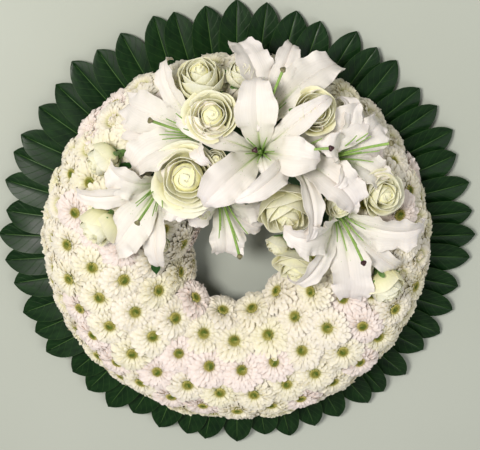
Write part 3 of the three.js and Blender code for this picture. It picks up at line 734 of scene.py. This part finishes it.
def sepal_shell(radius, deep, angle, rnd):
    """A green sepal that leaves the bloom's foot and curves away from its side."""
    spread = rnd.uniform(0.5, 0.85)

    def surface(u, v):
        r = 3 + radius * spread * np.sin(1.5 * u) + 2
        z = -deep - 1 + 0.75 * deep * u - 0.3 * deep * u * u
        w = 3.6 * np.clip(np.sin(math.pi * (0.12 + 0.86 * u)), 0.06, 1) * (radius / USUAL_ROSE) ** 0.5
        x, y = r, v * w
        z = z + 0.25 * w * np.abs(v)
        return turned(x, y, z, angle)

    return sheet(surface, np.linspace(0, 1, 8), np.array([-1, -0.5, 0, 0.5, 1]), 0.8)


def make_roses():
    for number, (at, facing, radius, opened) in enumerate(ROSES):
        rnd = np.random.default_rng(ROSE_SEED + number)
        piece = Piece()
        rim, axis = ring_point(*at), leaning(*facing)
        place = flower_frame(axis, rnd.uniform(0, ABOUT_A_TURN))
        deep = radius * (1.5 - 0.45 * opened)
        for i, (t, shape) in enumerate(rose_shapes(radius, opened, rnd)):
            turn = i * GOLDEN_ANGLE + 0.15 * rnd.normal()
            guard = t > GUARD_FROM and rnd.random() < GUARD_SHARE
            finish = GUARD_PETAL if guard else ROSE_PETAL
            piece.add(rose_petal_shell(radius, deep, turn, shape, rnd), finish, t, place, rim)
        mouth = radius * (0.62 + 0.38 * opened)
        heart = [(1.0, -0.9 * deep), (0.4 * radius, -0.5 * deep), (0.46 * mouth, -0.06 * radius),
                 (0.34 * mouth, 0.1 * radius), (0.16 * mouth, 0.18 * radius), (0.5, 0.21 * radius)]
        piece.add(lathe(heart, 16), ROSE_PETAL, 0.2, place, rim)
        hip = 4.6 * (radius / USUAL_ROSE) ** 0.5
        calyx = [(2.2, -deep - 9), (hip, -deep - 6), (hip * 1.1, -deep - 2), (hip * 1.4, -0.92 * deep),
                 (2, -0.86 * deep)]
        piece.add(lathe(calyx, 14), ROSE_GREEN, 0, place, rim)
        for k in range(SEPALS):
            turn = k * SEPAL_STEP + 0.2 * rnd.normal()
            piece.add(sepal_shell(radius, deep, turn, rnd), ROSE_GREEN, 0, place, rim)
        start = rim - axis * (deep + 5)
        piece.add(curved_stem(start, axis, foot_in_foam(at), 2.6, 10), ROSE_GREEN)
        finishes = [rose_petal, guard_petal, stem_green]
        piece.make(f"rose_bloom_{number + 1:02d}", finishes, f"rose_{number + 1:02d}", "rose", 60)


def make_rose_leaves():
    for number, (at, heading, rise, length) in enumerate(ROSE_LEAVES):
        root, h = ring_point(*at), math.radians(heading)
        ahead, across = np.array([math.cos(h), math.sin(h), 0]), np.array([-math.sin(h), math.cos(h), 0])

        def surface(u, v):
            teeth = 1 + 0.05 * np.sin(60 * u) * (np.abs(v) > 0.9)
            half = length * 0.24 * np.maximum(0.05, np.sin(math.pi * np.clip(u, 0, 1) ** 1.1)) * teeth
            z = rise * np.sin(1.6 * u) + 0.2 * half * np.abs(v) + 0.5 * np.sin(12 * u) * np.abs(v)
            rib = root + (length * u)[..., None] * ahead
            return rib + (v * half)[..., None] * across + z[..., None] * (0, 0, 1)

        piece = Piece()
        piece.add(sheet(surface, np.linspace(0, 1, 26), np.linspace(-1, 1, 11), 0.9), 0, 0.3)
        piece.add(curved_stem(root, ahead, foot_in_foam(at), 1.2, 8), 1)
        cad = f"rose_leaf_{number + 1:02d}"
        piece.make(f"rose_leaf_blade_{number + 1:02d}", [rose_leaf, stem_green], cad, "rose_leaf", 60)


# ---- leaf collar
BLADE, STALK, WIRE = range(3)  # a collar part's finishes
COLLAR_BAND = [  # radius, and height over the collar's base
    (COLLAR_INNER, 0.1), (COLLAR_OUTER, 0.3), (COLLAR_OUTER - 0.6, 1.5), (COLLAR_INNER + 0.6, 2.0)]
WIRE_END = 185  # radius in the foam at which a leaf's wire ends


def leaf_shell(index):
    """A leaf's closed sheet, its angle round the ring and its tint."""
    on_axis = index % (LEAVES // 4) == 0
    angle = math.radians(index * 360 / LEAVES)
    tip = LEAF_TIP if on_axis else LEAF_TIP - 5 - 5 * wobble(index)
    half = LEAF_HALF * (1 + 0.06 * wobble(index + 7))
    skew = 0 if on_axis else math.radians(4 * wobble(index + 3))
    rnd = np.random.default_rng(LEAF_SEED + index)
    phase, curl = rnd.uniform(0, ABOUT_A_TURN), rnd.normal()

    def surface(u, v):
        outline = np.interp(u, *np.array(LEAF_OUTLINE).T)
        across = v * half * outline
        x = LEAF_ROOT + (tip - LEAF_ROOT) * u
        y = across + skew * (x - LEAF_ROOT)
        z = COLLAR_BASE + 1 - 4 * u + 2.5 * np.sin(math.pi * u) - 2.5 * u * u
        z = z + np.abs(across) * LEAF_FOLD + across * math.tan(math.radians(LEAF_ROLL))
        z = z - 0.7 * np.exp(-((v / 0.07) ** 2)) + 0.9 * np.sin(7 * u + phase) * v * v
        z = z + 1.5 * curl * u * u * u
        return turned(x, y, z, angle)

    vs = np.array([-1, -0.8, -0.55, -0.3, -0.12, -0.045, 0, 0.045, 0.12, 0.3, 0.55, 0.8, 1])
    us = np.concatenate([np.linspace(-0.02, 0.86, 17), [0.9, 0.93, 0.96, 0.985, 1.0]])
    return sheet(surface, us, vs, 0.9), angle, rnd.random()


def add_stalk_and_wires(piece, angle):
    """A leaf's stalk, and the two legs of the wire that holds it in the foam."""
    out = np.array([math.cos(angle), math.sin(angle), 0])
    t = np.linspace(0, 1, 5)[:, None]
    stalk = out * (LEAF_ROOT + 8 - 34 * t) + (0, 0, COLLAR_BASE + 0.8)
    piece.add(tube(stalk, np.linspace(1.9, 1.2, 5), 8), STALK)
    for side in (-3, 3):
        sideways = np.array([-math.sin(angle), math.cos(angle), 0]) * side
        path = [
            out * (LEAF_ROOT + 3) + (0, 0, COLLAR_BASE + 2.4),
            out * (LEAF_ROOT + 3) + sideways + (0, 0, COLLAR_BASE + 2.2),
            out * WIRE_END + sideways + (0, 0, COLLAR_BASE + 1.2),
        ]
        piece.add(tube(path, 0.45, 6), WIRE)


def make_collar():
    per_part = LEAVES // COLLAR_PARTS
    for part in range(COLLAR_PARTS):
        piece = Piece()
        for k in range(per_part):
            shell, angle, tint = leaf_shell(per_part * part + k)
            piece.add(shell, BLADE, tint)
            add_stalk_and_wires(piece, angle)
        middle = per_part * part + (per_part - 1) / 2
        span = 360 / COLLAR_PARTS
        turns = np.radians(middle * 360 / LEAVES + np.linspace(-span / 2 + 0.1, span / 2 - 0.1, 15))
        sections = []
        for turn in turns:
            c, s = math.cos(turn), math.sin(turn)
            sections.append([(r * c, r * s, COLLAR_BASE + z) for r, z in COLLAR_BAND])
        piece.add(rings(sections), STALK)
        cad = f"leaf_collar_{part + 1:02d}"
        piece.make(f"collar_leaves_{part + 1:02d}", [collar_leaf, stem_green, florist_wire], cad, "leaf", 50)


# ---- foam and tray
def rounded(corners, radius, steps=4):
    """A closed outline with each corner rounded."""
    made = []
    corners = np.array(corners, float)
    for before, corner, after in zip(np.roll(corners, 1, 0), corners, np.roll(corners, -1, 0)):
        a = corner + unit(before - corner) * min(radius, 0.45 * np.linalg.norm(before - corner))
        b = corner + unit(after - corner) * min(radius, 0.45 * np.linalg.norm(after - corner))
        for t in np.linspace(0, 1, steps):
            made.append(tuple((1 - t) ** 2 * a + 2 * t * (1 - t) * corner + t * t * b))
    return made


def make_base():
    s = FOAM_SHOULDER
    section = [(FOAM_INNER, FOAM_BASE), (FOAM_OUTER, FOAM_BASE), (FOAM_OUTER, FOAM_TOP - s),
               (FOAM_OUTER - s / 3, FOAM_TOP - s / 3), (FOAM_OUTER - s, FOAM_TOP), (FOAM_INNER + s, FOAM_TOP),
               (FOAM_INNER + s / 3, FOAM_TOP - s / 3), (FOAM_INNER, FOAM_TOP - s)]
    foam = Piece()
    foam.add(lathe(rounded(section, 7), 128, ends=False))
    foam.make("floral_foam", [wet_foam], "foam_ring", "foam", 50)
    inner, outer = FOAM_INNER - TRAY_GAP, FOAM_OUTER + TRAY_GAP
    w, h = TRAY_WALL, TRAY_HEIGHT
    section = [(inner - w, 0), (outer + w, 0), (outer + w, h), (outer, h), (outer, 3), (inner, 3), (inner, h),
               (inner - w, h)]
    tray = Piece()
    tray.add(lathe(rounded(section, 0.9, 3), 128, ends=False))
    tray.make("holder_tray", [moulded_tray], "ring_tray", "tray", 50)


make_base()
make_collar()
make_heads()
make_lilies()
make_roses()
make_rose_leaves()


# ---- floor, light and camera
def make_floor():
    mesh = bpy.data.meshes.new("floor")
    mesh.from_pydata([(-4, -4, 0), (4, -4, 0), (4, 4, 0), (-4, 4, 0)], [], [(0, 1, 2, 3)])
    floor = bpy.data.objects.new("floor", mesh)
    bpy.context.scene.collection.objects.link(floor)
    f = Finish("floor_paper", Specular_IOR_Level=0.2)
    cloud = f.noise(1.3)
    colour = f.ramp(cloud, [(0.3, (0.46, 0.49, 0.43)), (0.7, (0.52, 0.55, 0.49))])
    mesh.materials.append(f.done(colour, rough=(cloud, 0.8, 0.9)))


def area_light(name, at, size, power, colour):
    light = bpy.data.lights.new(name, "AREA")
    light.shape, light.size, light.energy, light.color = "DISK", size, power, colour
    lamp = bpy.data.objects.new(name, light)
    lamp.location = at
    toward = np.array([0, 0, 0.08]) - at
    lamp.rotation_euler = (math.atan2(math.hypot(toward[0], toward[1]), -toward[2]), 0,
                           math.atan2(toward[1], toward[0]) - math.pi / 2)
    bpy.context.scene.collection.objects.link(lamp)


make_floor()
area_light("key", np.array([-0.8, 0.9, 2.1]), 0.7, 45, (1.0, 0.965, 0.92))
area_light("fill", np.array([1.4, -0.4, 1.9]), 1.4, 10, (0.97, 0.98, 1.0))
bpy.context.scene.view_settings.view_transform = "Standard"
world = bpy.data.worlds.new("studio")
world.use_nodes = True
world.node_tree.nodes["Background"].inputs[0].default_value = (1.0, 0.98, 0.94, 1)
world.node_tree.nodes["Background"].inputs[1].default_value = 0.34
bpy.context.scene.world = world

camera = bpy.data.objects.new("camera", bpy.data.cameras.new("camera"))
camera.data.sensor_width = 36
camera.data.lens = 110.6
lean, distance = math.radians(22), 1.9
aim_x, aim_y = 0.004, 0.009
camera.location = (aim_x, aim_y + distance * math.sin(lean), distance * math.cos(lean))
camera.rotation_euler = (-lean, 0, 0)
bpy.context.scene.collection.objects.link(camera)
bpy.context.scene.camera = camera
